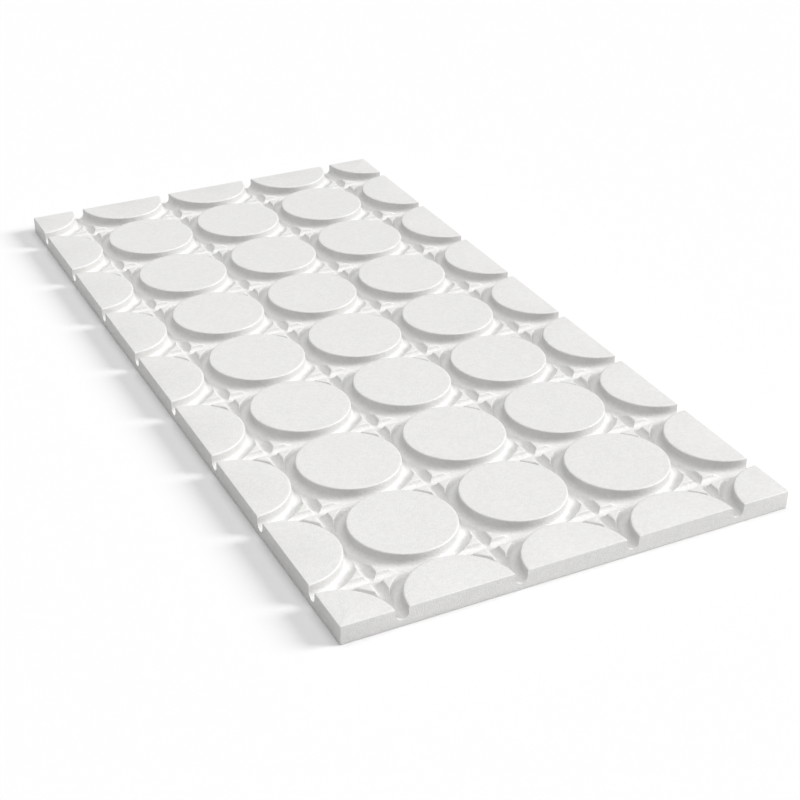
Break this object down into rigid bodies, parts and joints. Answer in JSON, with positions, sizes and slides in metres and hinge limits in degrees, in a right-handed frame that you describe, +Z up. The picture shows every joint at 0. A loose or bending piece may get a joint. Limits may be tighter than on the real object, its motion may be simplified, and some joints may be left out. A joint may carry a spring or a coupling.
{
  "type": "floor heating pipe panel",
  "caption": "White expanded-polystyrene floor panel with round knobs and channels between them for laying heating pipe straight or in bends.",
  "frame": {"origin": "middle of the panel's underside", "axes": "+Z up through the knobs, +Y along the panel's length, +X across its width"},
  "size_m": [0.6, 1.2, 0.025],
  "materials": {
    "eps_foam": "matte white expanded-polystyrene bead foam"
  },
  "bodies": {
    "root": {"eps_panel": "eps_foam"}
  },
  "joints": []
}
